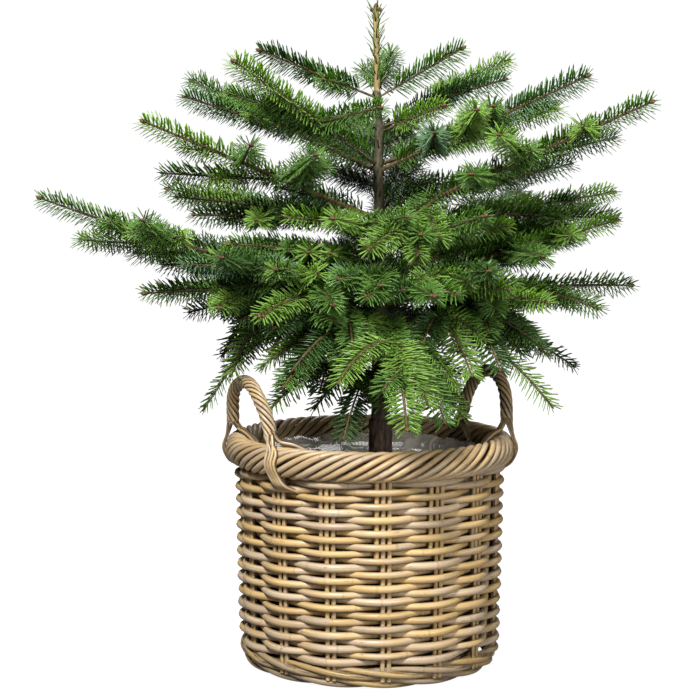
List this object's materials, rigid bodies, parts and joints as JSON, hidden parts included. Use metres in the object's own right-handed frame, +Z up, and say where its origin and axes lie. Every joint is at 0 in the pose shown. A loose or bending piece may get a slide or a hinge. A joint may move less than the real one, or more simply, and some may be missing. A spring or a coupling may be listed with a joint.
{
  "type": "potted fir christmas tree",
  "caption": "Young undecorated Nordmann-type fir, with tiered boughs of needles, growing in a round woven cane basket with rope handles and a film liner.",
  "frame": {"origin": "centre of the basket's flat underside, on the floor", "axes": "+Z up along the trunk; the viewer stands on the -Y side, the longest bough reaches towards -X"},
  "size_m": [0.802, 0.6519, 0.893],
  "materials": {
    "cane": "satin",
    "cane_border": "satin",
    "clear_film": "gloss",
    "soil": "matte",
    "trunk_bark": "matte",
    "twig_bark": "matte",
    "needles_top": "satin",
    "needles_mid": "satin",
    "needles_low": "satin"
  },
  "bodies": {
    "root": {"basket_border": "cane_border", "basket_floor": "cane", "basket_foot": "cane", "basket_wall": "cane", "bough_c_back": "twig_bark", "bough_c_back_right": "twig_bark", "bough_c_left": "twig_bark", "bough_c_right": "twig_bark", "bough_d_back": "twig_bark", "bough_d_back_left": "twig_bark", "bough_d_back_right": "twig_bark", "bough_d_left": "twig_bark", "bough_d_low_left": "twig_bark", "bough_d_right": "twig_bark", "bough_d_right_low": "twig_bark", "bough_e_front": "twig_bark", "film_liner": "clear_film", "handle_left": "cane", "handle_right": "cane", "needles_a_back": "needles_top", "needles_a_left": "needles_top", "needles_a_right": "needles_top", "needles_b_back": "needles_top", "needles_b_back_left": "needles_top", "needles_b_back_right": "needles_top", "needles_b_left": "needles_top", "needles_b_right": "needles_top", "needles_c_back": "needles_mid", "needles_c_back_left": "needles_mid", "needles_c_back_right": "needles_mid", "needles_c_front": "needles_mid", "needles_c_left": "needles_mid", "needles_c_low_front": "needles_mid", "needles_c_low_left": "needles_mid", "needles_c_right": "needles_mid", "needles_d_back": "needles_mid", "needles_d_back_left": "needles_mid", "needles_d_back_right": "needles_mid", "needles_d_front": "needles_mid", "needles_d_front_left": "needles_mid", "needles_d_left": "needles_mid", "needles_d_low_left": "needles_mid", "needles_d_right": "needles_mid", "needles_d_right_low": "needles_mid", "needles_e_back": "needles_low", "needles_e_back_left": "needles_low", "needles_e_far_right": "needles_low", "needles_e_front": "needles_low", "needles_e_front_left": "needles_low", "needles_e_left": "needles_low", "needles_e_right": "needles_low", "needles_f_back": "needles_low", "needles_f_front": "needles_low", "needles_f_left": "needles_low", "needles_f_right": "needles_low", "needles_inter_back": "needles_top", "needles_inter_front": "needles_top", "needles_leader": "needles_top", "root_ball": "soil", "trunk": "trunk_bark"}
  },
  "joints": []
}
